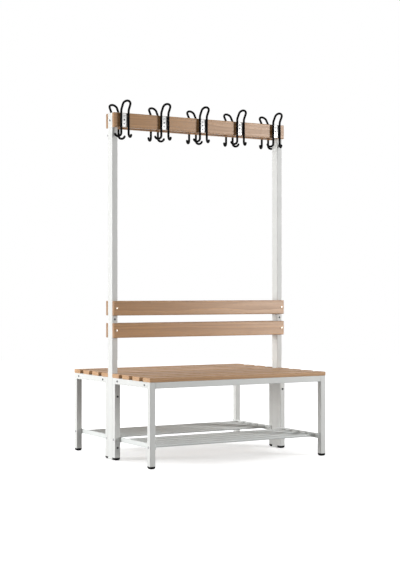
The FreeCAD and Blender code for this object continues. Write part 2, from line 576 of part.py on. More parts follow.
def bent_wire():
    """One hook wire about the middle of its plate: two end curls, two uprights and the leaning loop."""
    half = number("Sizes.hook_wire_spacing / 2")
    wire_radius = number("Sizes.hook_wire / 2")
    stand_off = number("Sizes.hook_plate_thickness + Sizes.gap") + wire_radius
    curl = number("Sizes.hook_curl_radius")
    curl_start = -number("Sizes.hook_curl_depth")
    curl_sweep = math.radians(number("Sizes.hook_curl_angle"))
    back = math.radians(number("Sizes.hook_curl_back"))
    bend = number("Sizes.hook_bend_radius")
    bend_start = number("Sizes.hook_bend_height")
    lean = math.radians(number("Sizes.hook_bend_angle"))
    reach = number("Sizes.hook_reach")
    rising = Vector(0, -math.sin(lean), math.cos(lean))

    def curl_point(side, angle):
        out = curl * (1 - math.cos(angle))
        return Vector(
            side * (half + out * math.cos(back)),
            -stand_off + out * math.sin(back),
            curl_start - curl * math.sin(angle),
        )

    def bend_point(side, angle):
        return Vector(
            side * half,
            -stand_off - bend * (1 - math.cos(angle)),
            bend_start + bend * math.sin(angle),
        )

    def half_path(side):
        """From the tip of a curl up to the foot of the top loop."""
        curled = [curl_point(side, curl_sweep * step / CURL_CHORDS) for step in range(CURL_CHORDS, -1, -1)]
        bent = [bend_point(side, lean * step / BEND_CHORDS) for step in range(BEND_CHORDS + 1)]
        return [*curled, *bent, bent[-1] + rising * reach]

    left_run = half_path(-1)
    right_run = half_path(1)
    loop_centre = (left_run[-1] + right_run[-1]) / 2
    loop = []
    for step in range(1, LOOP_CHORDS):
        angle = math.pi * step / LOOP_CHORDS
        outward = Vector(-half * math.cos(angle), 0, 0)
        loop.append(loop_centre + outward + rising * (half * math.sin(angle)))
    points = [*left_run, *loop, *right_run[::-1]]
    path = Part.makePolygon(points)
    along = (points[1] - points[0]).normalize()
    level = Vector(math.sin(back), math.cos(back), 0)
    steep = along.cross(level)
    rim = []
    for step in range(WIRE_SIDES):
        angle = 2 * math.pi * (step + 0.5) / WIRE_SIDES
        spoke = level * math.cos(angle) + steep * math.sin(angle)
        rim.append(points[0] + spoke * wire_radius)
    section = Part.makePolygon([*rim, rim[0]])
    return path.makePipeShell([section], True, False, MITRED)


# Hook wires, each bent from one round wire
wire_shape = bent_wire()
for side_name, side_sign, turn in SIDES:
    for step in range(int(number("Sizes.hook_count"))):
        label = f"{side_name}_hook_{step + 1}"
        hook = doc.addObject("Part::Feature", label)
        hook.Label = label
        hook.Shape = wire_shape.copy()
        hook_x = number(f"{step} * {HOOK_PITCH} - {FIRST_HOOK_X}")
        hook.Placement = Placement(
            Vector(hook_x, side_sign * number(BOARD_FACE_Y), number(HOOK_BOARD_Z)),
            Rotation(Vector(0, 0, 1), turn),
        )
        nodes.append(hook)

doc.recompute()
os.makedirs("parts", exist_ok=True)
for item in doc.Objects:
    if "Invalid" in item.State or "Error" in item.State:
        raise RuntimeError(f"{item.Label} did not build: {item.State}")
for node in nodes:
    if node.Shape.isNull() or not node.Shape.isValid():
        raise RuntimeError(f"{node.Label} has no sound shape")
    node.Shape.exportStep(f"parts/{node.Label}.step")
    print(node.Label, len(node.Shape.Solids), round(node.Shape.Volume))
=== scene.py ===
import logging
import math
import random
from collections.abc import Callable
from dataclasses import dataclass
from enum import Enum

import bmesh
import bpy
from mathutils import Matrix, Vector


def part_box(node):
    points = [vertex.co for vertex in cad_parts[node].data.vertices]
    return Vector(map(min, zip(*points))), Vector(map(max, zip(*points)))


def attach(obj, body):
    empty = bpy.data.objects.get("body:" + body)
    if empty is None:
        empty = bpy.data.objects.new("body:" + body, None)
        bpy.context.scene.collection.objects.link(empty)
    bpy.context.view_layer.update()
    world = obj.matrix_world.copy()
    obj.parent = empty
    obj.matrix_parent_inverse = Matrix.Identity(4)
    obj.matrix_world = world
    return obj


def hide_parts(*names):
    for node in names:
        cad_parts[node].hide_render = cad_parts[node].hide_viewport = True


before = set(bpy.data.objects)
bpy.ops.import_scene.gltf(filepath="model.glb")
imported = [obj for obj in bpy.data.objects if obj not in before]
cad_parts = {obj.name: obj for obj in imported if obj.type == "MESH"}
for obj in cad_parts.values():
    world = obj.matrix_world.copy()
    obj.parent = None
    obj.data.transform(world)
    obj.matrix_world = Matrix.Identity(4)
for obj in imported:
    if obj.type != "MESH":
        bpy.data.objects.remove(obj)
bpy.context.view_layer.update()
LOG = logging.getLogger("cloakroom_bench")

BODY = "root"
UNIT = (Vector((1, 0, 0)), Vector((0, 1, 0)), Vector((0, 0, 1)))
ALONG_X, ALONG_Y, ALONG_Z = 0, 1, 2
SUPPORT = 0.0004
SHARP_ANGLE = math.radians(38)
ROUND_SIDES = 24
CROSS_HUB = 0.3
CROSS_SHARPNESS = 5
KEYS_PER_METRE = 1e5

Triple = tuple[float, float, float]
Outline = list[Triple]
Colour = tuple[float, float, float, float]


class Side(Enum):
    """The two benches, the front one towards the camera."""

    FRONT = "front"
    REAR = "rear"

    @property
    def outward(self) -> int:
        """The sign of Y away from the posts."""
        return -1 if self is Side.FRONT else 1


class End(Enum):
    """The two ends of the bench along X."""

    LEFT = "left"
    RIGHT = "right"


class Recess(Enum):
    """The driver recess in a screw or bolt head."""

    NONE = "none"
    HEXAGON = "hexagon"
    CROSS = "cross"


# Outlines and meshes


def soft_rectangle(width: float, height: float, radius: float, steps: int = 5) -> Outline:
    """A rectangle with round corners, each point with its edge weight.

    Args:
        width: Size across.
        height: Size up.
        radius: Radius of the corners.
        steps: Facets in each corner.

    Returns:
        The points as (across, up, edge weight), counter-clockwise.
    """
    outline: Outline = []
    for quarter, (way_x, way_y) in enumerate(((1, 1), (-1, 1), (-1, -1), (1, -1))):
        for step in range(-1, steps + 2):
            share = min(max(step / steps, 0.0), 1.0)
            overrun = SUPPORT * (step - share * steps)
            angle = math.pi / 2 * (quarter + share)
            outline.append((
                way_x * (width / 2 - radius) + radius * math.cos(angle) - overrun * math.sin(angle),
                way_y * (height / 2 - radius) + radius * math.sin(angle) + overrun * math.cos(angle),
                math.sin(math.pi * share),
            ))
    return outline


def circle(radius: float, sides: int = ROUND_SIDES) -> Outline:
    """A circle as (across, up, edge weight) points."""
    angles = [2 * math.pi * step / sides for step in range(sides)]
    return [(radius * math.cos(angle), radius * math.sin(angle), 0.0) for angle in angles]


def recess_outline(recess: Recess, radius: float) -> Outline:
    """The mouth of a driver recess.

    Args:
        recess: Kind of recess.
        radius: Reach of its corners or arms.

    Returns:
        An outline with as many points as a circle.
    """
    outline: Outline = []
    sector = math.pi / 3
    for step in range(ROUND_SIDES):
        angle = 2 * math.pi * step / ROUND_SIDES
        if recess is Recess.HEXAGON:
            reach = radius * math.cos(sector / 2) / math.cos(angle % sector - sector / 2)
        else:
            arm = abs(math.cos(2 * angle)) ** CROSS_SHARPNESS
            reach = radius * (CROSS_HUB + (1 - CROSS_HUB) * arm)
        outline.append((reach * math.cos(angle), reach * math.sin(angle), 0.0))
    return outline


def facing(origin: Vector, axis: Vector, across: Vector) -> Matrix:
    """A placement that looks along an axis.

    Args:
        origin: Its origin.
        axis: Direction of its Z.
        across: Direction of its X.

    Returns:
        The placement.
    """
    placement = Matrix((across, axis.cross(across), axis)).transposed().to_4x4()
    placement.translation = origin
    return placement


class Shell:
    """A mesh in the making, with an edge weight at each point."""

    def __init__(self, grain: Callable[[Vector], Vector] | None = None) -> None:
        """Starts empty.

        Args:
            grain: For boards, gives the place of a point in the timber.
        """
        self.points: list[Vector] = []
        self.edges: list[float] = []
        self.faces: list[tuple[int, ...]] = []
        self.grain = grain

    def ring(self, outline: Outline, placement: Matrix, height: float, edge: float = 0.0) -> list[int]:
        """Adds the points of an outline.

        Args:
            outline: Points in the XY plane of the placement.
            placement: Where the outline lies.
            height: Distance along the Z of the placement.
            edge: Least edge weight of these points.

        Returns:
            The numbers of the new points.
        """
        first = len(self.points)
        for across, up, weight in outline:
            self.points.append(placement @ Vector((across, up, height)))
            self.edges.append(max(weight, edge))
        return list(range(first, len(self.points)))

    def loft(self, rings: list[list[int]], hollow: bool = False) -> None:
        """Joins rings into a closed skin.

        Args:
            rings: Rings of equal length, in order.
            hollow: Joins the last ring to the first instead of capping both.
        """
        pairs = list(zip(rings, rings[1:]))
        if hollow:
            pairs.append((rings[-1], rings[0]))
        else:
            self.faces.append(tuple(reversed(rings[0])))
            self.faces.append(tuple(rings[-1]))
        for low, high in pairs:
            for index, start in enumerate(low):
                after = (index + 1) % len(low)
                self.faces.append((start, low[after], high[after], high[index]))

    def block(self, low: Vector, high: Vector, axis: int, radius: float, softening: float) -> None:
        """Adds a block with round long edges and softened ends.

        Args:
            low: Lowest corner.
            high: Highest corner.
            axis: Number of the axis that it runs along.
            radius: Radius of the long edges.
            softening: Radius of the end edges.
        """
        placement, width, height, length = box_placement(low, high, axis)
        rings = []
        for inset, level, weight in soft_levels(length, softening):
            outline = soft_rectangle(width - 2 * inset, height - 2 * inset, max(radius - inset, SUPPORT))
            rings.append(self.ring(outline, placement, level, weight))
        self.loft(rings)

    def tube(self, low: Vector, high: Vector, axis: int, corner: float, wall: float) -> None:
        """Adds an open rectangular tube.

        Args:
            low: Lowest corner.
            high: Highest corner.
            axis: Number of the axis that it runs along.
            corner: Outer corner radius.
            wall: Wall thickness.
        """
        placement, width, height, length = box_placement(low, high, axis)
        outer = soft_rectangle(width, height, corner)
        inner = soft_rectangle(width - 2 * wall, height - 2 * wall, max(corner - wall, SUPPORT))
        self.loft([
            self.ring(outer, placement, 0.0),
            self.ring(outer, placement, length),
            self.ring(inner, placement, length),
            self.ring(inner, placement, 0.0),
        ], hollow=True)

    def build(self, name: str, finish: "Finish", *nodes: str) -> None:
        """Turns the shell into a piece of the bench.

        Args:
            name: Name of the piece.
            finish: Its finish.
            nodes: CAD nodes that it stands for.
        """
        mesh = bpy.data.meshes.new(name)
        mesh.from_pydata(self.points, [], self.faces)
        edge = mesh.attributes.new("edge", "FLOAT", "POINT")
        edge.data.foreach_set("value", self.edges)
        if self.grain is not None:
            places = [value for point in self.points for value in self.grain(point)]
            mesh.attributes.new("grain", "FLOAT_VECTOR", "POINT").data.foreach_set("vector", places)
        surface = bmesh.new()
        surface.from_mesh(mesh)
        bmesh.ops.recalc_face_normals(surface, faces=surface.faces)
        surface.to_mesh(mesh)
        surface.free()
        mesh.shade_smooth()
        mesh.set_sharp_from_angle(angle=SHARP_ANGLE)
        mesh.materials.append(finish.material())
        piece = bpy.data.objects.new(name, mesh)
        bpy.context.scene.collection.objects.link(piece)
        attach(piece, BODY)
        if nodes:
            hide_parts(*nodes)
        LOG.info("%s: %d faces, %s", name, len(mesh.polygons), finish.name)


def box_placement(low: Vector, high: Vector, axis: int) -> tuple[Matrix, float, float, float]:
    """A placement at the low end of a box, along one of its axes.

    Args:
        low: Lowest corner.
        high: Highest corner.
        axis: Number of the axis.

    Returns:
        The placement, and the box's sizes across, up and along it.
    """
    across, up = (axis + 1) % 3, (axis + 2) % 3
    origin = (low + high) / 2
    origin[axis] = low[axis]
    size = high - low
    return facing(origin, UNIT[axis], UNIT[across]), size[across], size[up], size[axis]


def soft_levels(length: float, softening: float, steps: int = 3) -> list[Triple]:
    """The rings of a block with softened ends.

    Args:
        length: Length of the block.
        softening: Radius of its end edges.
        steps: Facets in each end edge.

    Returns:
        An inset, a level and an edge weight for each ring.
    """
    start = []
    for step in range(steps + 1):
        angle = math.pi / 2 * step / steps
        start.append((
            softening * (1 - math.sin(angle)),
            softening * (1 - math.cos(angle)),
            math.sin(2 * angle),
        ))
    start.append((0.0, softening + SUPPORT, 0.0))
    return start + [(inset, length - level, weight) for inset, level, weight in reversed(start)]


@dataclass(frozen=True)
class Solid:
    """One separate solid of a CAD node."""

    low: Vector
    high: Vector
    axis: int
    head_up: bool

    @property
    def centre(self) -> Vector:
        """The middle of its box."""
        return (self.low + self.high) / 2

    @property
    def length(self) -> float:
        """Its size along its axis."""
        return self.high[self.axis] - self.low[self.axis]

    @property
    def width(self) -> float:
        """Its largest size across its axis."""
        return max(size for index, size in enumerate(self.high - self.low) if index != self.axis)

    @property
    def outward(self) -> Vector:
        """The direction from the shank to the head."""
        return UNIT[self.axis] if self.head_up else -UNIT[self.axis]

    def head_top(self) -> Vector:
        """The middle of the outer face of the head."""
        return self.centre + self.outward * (self.length / 2)


def solids_of(node: str) -> list[Solid]:
    """Splits a CAD node into its separate solids.

    Args:
        node: Name of the node.

    Returns:
        The solids in order of their lowest corners.
    """
    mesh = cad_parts[node].data
    keys = [tuple(round(value * KEYS_PER_METRE) for value in vertex.co) for vertex in mesh.vertices]
    leader = {key: key for key in keys}

    def leading(key: tuple[int, ...]) -> tuple[int, ...]:
        """Finds the key that stands for a whole solid.

        Args:
            key: Key of one of its points.

        Returns:
            The key that stands for it.
        """
        while leader[key] != key:
            leader[key] = leader[leader[key]]
            key = leader[key]
        return key

    for polygon in mesh.polygons:
        first, *others = (leading(keys[index]) for index in polygon.vertices)
        for other in others:
            leader[leading(other)] = leading(first)
    groups: dict[tuple[int, ...], list[Vector]] = {}
    for key, vertex in zip(keys, mesh.vertices):
        groups.setdefault(leading(key), []).append(vertex.co)
    found = []
    for points in groups.values():
        low = Vector(map(min, zip(*points)))
        high = Vector(map(max, zip(*points)))
        size = high - low
        middle = sorted(size)[1]
        axis = max(range(3), key=lambda index: abs(size[index] - middle))
        spread = {True: 0.0, False: 0.0}
        centre = (low + high) / 2
        for point in points:
            away = point - centre
            up = away[axis] > 0
            away[axis] = 0
            spread[up] = max(spread[up], away.length)
        found.append(Solid(low, high, axis, spread[True] > spread[False]))
    return sorted(found, key=lambda solid: tuple(solid.low))


# Shader nodes


def rgb(red: float, green: float, blue: float) -> Colour:
    """An opaque linear colour."""
    return (red, green, blue, 1.0)


# Multiplied into the sawn ends as darker end grain, and into the narrow sides of seat slats as painted shade
# between the slats.
END_GRAIN_AND_GAP_SHADE_COLOUR = rgb(0.55, 0.50, 0.42)
CUT_SHARPNESS = 4.0
RING_STRETCH = (0.12, 1.0, 1.0)
FIBRE_STRETCH = (7.0, 320.0, 320.0)
DRIFT_STRETCH = (1.6, 16.0, 16.0)
PORE_STRETCH = (38.0, 900.0, 900.0)
PORE_DEPTH = 0.55
RING_SHARE, FIBRE_SHARE, DRIFT_SHARE = 0.34, 0.40, 0.46
FIBRE_RELIEF, PORE_RELIEF = 0.5, -1.0
MOTTLE_RATIO = 9.0
MOTTLE_SHARE = 0.3
SMUDGE_RATIO = 0.02
SMUDGE_SHARE = 0.6
MIX_SHARE, MIX_FIRST, MIX_SECOND, MIX_RESULT = 0, 6, 7, 2


class NodeDesk:
    """Adds nodes to one node tree and links them."""

    def __init__(self, tree: bpy.types.NodeTree) -> None:
        """Takes the tree to work on."""
        self.tree = tree

    def add(self, kind: str, feeds: dict[str | int, object] | None = None,
            **settings: object) -> bpy.types.Node:
        """Adds a node.

        Args:
            kind: Blender's name of the node type.
            feeds: Input sockets, each with a value or with the socket that feeds it.
            settings: Properties of the node.

        Returns:
            The new node.
        """
        node = self.tree.nodes.new(kind)
        for setting, value in settings.items():
            setattr(node, setting, value)
        for socket, value in (feeds or {}).items():
            self.feed(node, socket, value)
        return node

    def feed(self, node: bpy.types.Node, socket: str | int, value: object) -> None:
        """Sets an input socket to a value, or links another socket to it.

        Args:
            node: Node that is fed.
            socket: Name or number of its input.
            value: The value or the socket.
        """
        if isinstance(value, bpy.types.NodeSocket):
            self.tree.links.new(value, node.inputs[socket])
        else:
            node.inputs[socket].default_value = value

    def noise(self, vector: bpy.types.NodeSocket, scale: object = 1.0,
              detail: float = 2.0) -> bpy.types.NodeSocket:
        """A noise value over a vector."""
        feeds = {"Vector": vector, "Scale": scale, "Detail": detail}
        return self.add("ShaderNodeTexNoise", feeds).outputs[0]

    def blend(self, share: object, first: object, second: object, mode: str = "MIX") -> bpy.types.NodeSocket:
        """A mix of two colours by a share."""
        feeds = {MIX_SHARE: share, MIX_FIRST: first, MIX_SECOND: second}
        return self.add("ShaderNodeMix", feeds, data_type="RGBA", blend_type=mode).outputs[MIX_RESULT]

    def reckon(self, operation: str, first: object, second: object) -> bpy.types.NodeSocket:
        """A sum, product or other operation on two values."""
        return self.add("ShaderNodeMath", {0: first, 1: second}, operation=operation).outputs[0]

    def weigh(self, *parts: tuple[bpy.types.NodeSocket, object]) -> bpy.types.NodeSocket:
        """A sum of values, each times its share.

        Args:
            parts: The values with their shares.

        Returns:
            The sum.
        """
        total, *others = [self.reckon("MULTIPLY", value, share) for value, share in parts]
        for other in others:
            total = self.reckon("ADD", total, other)
        return total

    def span(self, value: bpy.types.NodeSocket, start: object, stop: object,
             low: object = 0.0, high: object = 1.0) -> bpy.types.NodeSocket:
        """A value moved from one range to another, held within it."""
        feeds = {"Value": value, "From Min": start, "From Max": stop, "To Min": low, "To Max": high}
        return self.add("ShaderNodeMapRange", feeds).outputs[0]

    def stretch(self, vector: bpy.types.NodeSocket, scale: Triple) -> bpy.types.NodeSocket:
        """A vector scaled along each axis."""
        return self.add("ShaderNodeMapping", {"Vector": vector, "Scale": scale}).outputs[0]


class Effect:
    """A surface effect that several materials share, as a node group."""

    FLOAT = "NodeSocketFloat"
    COLOUR = "NodeSocketColor"

    def __init__(self, name: str, inputs: dict[str, str], outputs: dict[str, str]) -> None:
        """Makes the empty group.

        Args:
            name: Name of the group.
            inputs: Input sockets by name, with their types.
            outputs: Output sockets by name, with their types.
        """
        self.group = bpy.data.node_groups.new(name, "ShaderNodeTree")
        for way, sockets in (("INPUT", inputs), ("OUTPUT", outputs)):
            for socket, kind in sockets.items():
                self.group.interface.new_socket(name=socket, in_out=way, socket_type=kind)
        self.desk = NodeDesk(self.group)
        self.given = self.desk.add("NodeGroupInput").outputs
        self.result = self.desk.add("NodeGroupOutput")

    def finish(self, **outputs: bpy.types.NodeSocket) -> "Effect":
        """Links the output sockets.

        Args:
            outputs: Output sockets by name, each with the socket that feeds it.

        Returns:
            The effect itself.
        """
        for socket, value in outputs.items():
            self.desk.feed(self.result, socket, value)
        return self

    def place(self, desk: NodeDesk, **feeds: object) -> bpy.types.bpy_prop_collection:
        """Places the group in a material.

        Args:
            desk: The material's nodes.
            feeds: The group's inputs.

        Returns:
            The outputs of the placed group.
        """
        return desk.add("ShaderNodeGroup", feeds, node_tree=self.group).outputs


def tone_effect() -> Effect:
    """A colour that drifts slowly over the surface, with a faint finer mottle.

    Returns:
        The effect.
    """
    effect = Effect(
        "surface_tone",
        {"Colour": Effect.COLOUR, "Drift": Effect.COLOUR, "Scale": Effect.FLOAT},
        {"Colour": Effect.COLOUR},
    )
    desk = effect.desk
    place = desk.add("ShaderNodeTexCoord").outputs["Object"]
    broad = desk.noise(place, effect.given["Scale"], detail=3.0)
    fine = desk.noise(place, desk.reckon("MULTIPLY", effect.given["Scale"], MOTTLE_RATIO))
    share = desk.weigh((broad, 1 - MOTTLE_SHARE), (fine, MOTTLE_SHARE))
    share = desk.span(share, start=0.3, stop=0.7)
    return effect.finish(Colour=desk.blend(share, effect.given["Colour"], effect.given["Drift"]))


def texture_effect() -> Effect:
    """The fine relief of a coated or moulded surface and the roughness that goes with it.

    Returns:
        The effect.
    """
    effect = Effect(
        "fine_texture",
        {"Scale": Effect.FLOAT, "Smooth": Effect.FLOAT, "Rough": Effect.FLOAT},
        {"Height": Effect.FLOAT, "Roughness": Effect.FLOAT},
    )
    desk = effect.desk
    place = desk.add("ShaderNodeTexCoord").outputs["Object"]
    grains = desk.noise(place, effect.given["Scale"])
    smudges = desk.noise(place, desk.reckon("MULTIPLY", effect.given["Scale"], SMUDGE_RATIO), detail=3.0)
    share = desk.weigh((grains, 1 - SMUDGE_SHARE), (smudges, SMUDGE_SHARE))
    rough = desk.span(share, start=0.3, stop=0.7, low=effect.given["Smooth"], high=effect.given["Rough"])
    return effect.finish(Height=grains, Roughness=rough)


def wear_effect() -> Effect:
    """Handling wear that shows in patches along the edges.

    Returns:
        The effect.
    """
    effect = Effect(
        "edge_wear",
        {"Colour": Effect.COLOUR, "Worn": Effect.COLOUR, "Amount": Effect.FLOAT},
        {"Colour": Effect.COLOUR},
    )
    desk = effect.desk
    edge = desk.add("ShaderNodeAttribute", attribute_name="edge").outputs["Fac"]
    place = desk.add("ShaderNodeTexCoord").outputs["Object"]
    patches = desk.span(desk.noise(place, scale=28.0, detail=4.0), start=0.42, stop=0.68)
    mask = desk.reckon("MULTIPLY", desk.reckon("MULTIPLY", edge, patches), effect.given["Amount"])
    return effect.finish(Colour=desk.blend(mask, effect.given["Colour"], effect.given["Worn"]))


def timber_effect() -> Effect:
    """Growth rings, fibres and pores of a board, from its place in the timber.

    The sawn ends are deeper in tone, as end grain is; the narrow sides can take painted shade, as if shaded
    in the gaps between slats.

    Returns:
        The effect.
    """
    effect = Effect(
        "timber_grain_and_gap_shade",
        {"Pale": Effect.COLOUR, "Deep": Effect.COLOUR, "Pore": Effect.COLOUR, "Smooth": Effect.FLOAT,
         "Rough": Effect.FLOAT, "End": Effect.FLOAT, "Side": Effect.FLOAT},
        {"Colour": Effect.COLOUR, "Height": Effect.FLOAT, "Roughness": Effect.FLOAT},
    )
    desk = effect.desk
    grain = desk.add("ShaderNodeAttribute", attribute_name="grain").outputs["Vector"]
    rings = desk.add(
        "ShaderNodeTexWave",
        {"Vector": desk.stretch(grain, RING_STRETCH), "Scale": 34.0, "Distortion": 5.0,
         "Detail": 2.0, "Detail Scale": 0.6, "Detail Roughness": 0.55},
        wave_type="RINGS", rings_direction="X", wave_profile="SAW",
    ).outputs["Fac"]
    fibres = desk.noise(desk.stretch(grain, FIBRE_STRETCH), detail=4.0)
    drift = desk.noise(desk.stretch(grain, DRIFT_STRETCH))
    share = desk.weigh((rings, RING_SHARE), (fibres, FIBRE_SHARE), (drift, DRIFT_SHARE))
    depth = desk.span(share, start=0.34, stop=0.86)
    tone = desk.blend(depth, effect.given["Pale"], effect.given["Deep"])
    pores = desk.noise(desk.stretch(grain, PORE_STRETCH), detail=1.0)
    pores = desk.span(pores, start=0.60, stop=0.72)
    tone = desk.blend(desk.reckon("MULTIPLY", pores, PORE_DEPTH), tone, effect.given["Pore"])
    normal = desk.add("ShaderNodeTexCoord").outputs["Normal"]
    facing_ways = desk.add("ShaderNodeSeparateXYZ", {0: normal}).outputs
    end = desk.reckon("POWER", facing_ways["X"], CUT_SHARPNESS)
    # Painted shade: the narrow sides facing Y are darkened as if shaded in the gaps between seat slats.
    side = desk.reckon("POWER", facing_ways["Y"], CUT_SHARPNESS)
    end_grain_and_gap_shade = desk.weigh((end, effect.given["End"]), (side, effect.given["Side"]))
    tone = desk.blend(end_grain_and_gap_shade, tone, END_GRAIN_AND_GAP_SHADE_COLOUR, mode="MULTIPLY")
    height = desk.weigh((fibres, FIBRE_RELIEF), (pores, PORE_RELIEF))
    rough = desk.span(share, start=0.3, stop=0.9, low=effect.given["Smooth"], high=effect.given["Rough"])
    return effect.finish(Colour=tone, Height=height, Roughness=rough)


SURFACE_TONE = tone_effect()
FINE_TEXTURE = texture_effect()
EDGE_WEAR = wear_effect()
TIMBER_GRAIN_AND_GAP_SHADE = timber_effect()


# Finishes


@dataclass(frozen=True)
class Finish:
    """The finish of one material slot."""

    name: str
    slot: str

    def material(self) -> bpy.types.Material:
        """Makes the finish's material at its first use.

        Returns:
            The material.
        """
        made = bpy.data.materials.get(self.name)
        if made is None:
            made = bpy.data.materials.new(self.name)
            made.use_nodes = True
            desk = NodeDesk(made.node_tree)
            self.dress(desk, made.node_tree.nodes["Principled BSDF"])
        return made

    def dress(self, desk: NodeDesk, shader: bpy.types.Node) -> None:
        """Feeds the shader, in each kind of finish.

        Args:
            desk: The material's nodes.
            shader: Its Principled shader.
        """
        raise NotImplementedError


@dataclass(frozen=True)
class CoatedFinish(Finish):
    """Powder coat, dip coating or moulded plastic with a fine skin."""

    colour: Colour
    drift: Colour
    worn: Colour
    wear: float
    grain_scale: float
    smooth: float
    rough: float
    relief: float
    metal: float = 0.0
    gloss: float = 0.5
    drift_scale: float = 5.0
    bump: float = 0.6

    def dress(self, desk: NodeDesk, shader: bpy.types.Node) -> None:
        """Feeds tone, wear, roughness and relief.

        Args:
            desk: The material's nodes.
            shader: Its Principled shader.
        """
        tone = SURFACE_TONE.place(
            desk, Colour=self.colour, Drift=self.drift, Scale=self.drift_scale,
        )["Colour"]
        colour = EDGE_WEAR.place(desk, Colour=tone, Worn=self.worn, Amount=self.wear)["Colour"]
        skin = FINE_TEXTURE.place(desk, Scale=self.grain_scale, Smooth=self.smooth, Rough=self.rough)
        bump = desk.add("ShaderNodeBump", {
            "Strength": self.bump, "Distance": self.relief, "Height": skin["Height"],
        })
        desk.feed(shader, "Base Color", colour)
        desk.feed(shader, "Roughness", skin["Roughness"])
        desk.feed(shader, "Normal", bump.outputs[0])
        desk.feed(shader, "Metallic", self.metal)
        desk.feed(shader, "Specular IOR Level", self.gloss)


@dataclass(frozen=True)
class TimberFinish(Finish):
    """Clear lacquered hardwood."""

    pale: Colour
    deep: Colour
    pore: Colour
    worn: Colour
    smooth: float
    rough: float
    gloss: float
    lacquer: float
    end_shade: float = 0.50
    # Painted shade on the narrow sides, standing in for the shade in the gaps between slats.
    side_painted_shade: float = 0.0
    lacquer_roughness: float = 0.3
    wear: float = 0.5
    relief: float = 0.00012
    bump: float = 0.5

    def dress(self, desk: NodeDesk, shader: bpy.types.Node) -> None:
        """Feeds grain with the painted side shade, edge wear, roughness, relief and lacquer.

        Args:
            desk: The material's nodes.
            shader: Its Principled shader.
        """
        grain = TIMBER_GRAIN_AND_GAP_SHADE.place(
            desk, Pale=self.pale, Deep=self.deep, Pore=self.pore, Smooth=self.smooth, Rough=self.rough,
            End=self.end_shade, Side=self.side_painted_shade,
        )
        colour = EDGE_WEAR.place(desk, Colour=grain["Colour"], Worn=self.worn, Amount=self.wear)["Colour"]
        bump = desk.add("ShaderNodeBump", {
            "Strength": self.bump, "Distance": self.relief, "Height": grain["Height"],
        })
        desk.feed(shader, "Base Color", colour)
        desk.feed(shader, "Roughness", grain["Roughness"])
        desk.feed(shader, "Normal", bump.outputs[0])
        desk.feed(shader, "Coat Weight", self.lacquer)
        desk.feed(shader, "Coat Roughness", self.lacquer_roughness)
        desk.feed(shader, "Specular IOR Level", self.gloss)


FRAME_COAT = CoatedFinish(
    "light_grey_frame_coat", "frame_paint",
    colour=rgb(0.726, 0.734, 0.715), drift=rgb(0.696, 0.704, 0.685), worn=rgb(0.60, 0.61, 0.60),
    wear=0.35, grain_scale=900.0, smooth=0.42, rough=0.55, relief=0.00006,
)
RACK_COAT = CoatedFinish(
    "grey_rack_coat", "rack_paint",
    colour=rgb(0.728, 0.750, 0.736), drift=rgb(0.698, 0.720, 0.706), worn=rgb(0.52, 0.53, 0.52),
    wear=0.4, grain_scale=900.0, smooth=0.42, rough=0.56, relief=0.00006,
)
PLATE_COAT = CoatedFinish(
    "bright_plate_coat", "plate_paint",
    colour=rgb(0.66, 0.66, 0.655), drift=rgb(0.62, 0.62, 0.615), worn=rgb(0.62, 0.62, 0.62),
    wear=0.5, grain_scale=1400.0, smooth=0.32, rough=0.44, relief=0.00003, metal=0.75,
)
HOOK_COATING = CoatedFinish(
    "black_hook_coating", "hook_coating",
    colour=rgb(0.002, 0.002, 0.0022), drift=rgb(0.003, 0.003, 0.0033), worn=rgb(0.010, 0.010, 0.011),
    wear=0.3, grain_scale=700.0, smooth=0.38, rough=0.52, relief=0.00005, gloss=0.04,
)
CAP_PLASTIC = CoatedFinish(
    "light_cap_plastic", "cap_plastic",
    colour=rgb(0.70, 0.70, 0.68), drift=rgb(0.67, 0.67, 0.65), worn=rgb(0.60, 0.60, 0.58),
    wear=0.3, grain_scale=1200.0, smooth=0.50, rough=0.64, relief=0.00005,
)
FOOT_PLASTIC = CoatedFinish(
    "black_foot_plastic", "foot_plastic",
    colour=rgb(0.0025, 0.0025, 0.0025), drift=rgb(0.004, 0.004, 0.004), worn=rgb(0.012, 0.012, 0.012),
    wear=0.6, grain_scale=1100.0, smooth=0.50, rough=0.66, relief=0.00006, gloss=0.08,
)
PLUG_PLASTIC = CoatedFinish(
    "dark_plug_plastic", "plug_plastic",
    colour=rgb(0.035, 0.035, 0.038), drift=rgb(0.045, 0.045, 0.048), worn=rgb(0.08, 0.08, 0.08),
    wear=0.3, grain_scale=1300.0, smooth=0.42, rough=0.56, relief=0.00004,
)
DARK_STEEL = CoatedFinish(
    "dark_bolt_steel", "dark_bolt",
    colour=rgb(0.030, 0.030, 0.032), drift=rgb(0.042, 0.042, 0.045), worn=rgb(0.12, 0.12, 0.125),
    wear=0.6, grain_scale=1600.0, smooth=0.36, rough=0.52, relief=0.00004, metal=0.5,
)
GREY_STEEL = CoatedFinish(
    "grey_bolt_steel", "dark_bolt",
    colour=rgb(0.13, 0.13, 0.135), drift=rgb(0.16, 0.16, 0.165), worn=rgb(0.24, 0.24, 0.245),
    wear=0.6, grain_scale=1600.0, smooth=0.36, rough=0.52, relief=0.00004, metal=0.5,
)
ZINC = CoatedFinish(
    "bright_zinc", "zinc",
    colour=rgb(0.70, 0.62, 0.53), drift=rgb(0.62, 0.55, 0.47), worn=rgb(0.50, 0.46, 0.41),
    wear=0.4, grain_scale=1500.0, smooth=0.26, rough=0.40, relief=0.00004, metal=0.9,
)
DULL_ZINC = CoatedFinish(
    "dull_zinc", "zinc",
    colour=rgb(0.40, 0.40, 0.41), drift=rgb(0.34, 0.34, 0.35), worn=rgb(0.28, 0.28, 0.29),
    wear=0.4, grain_scale=1500.0, smooth=0.36, rough=0.50, relief=0.00004, metal=0.9,
)
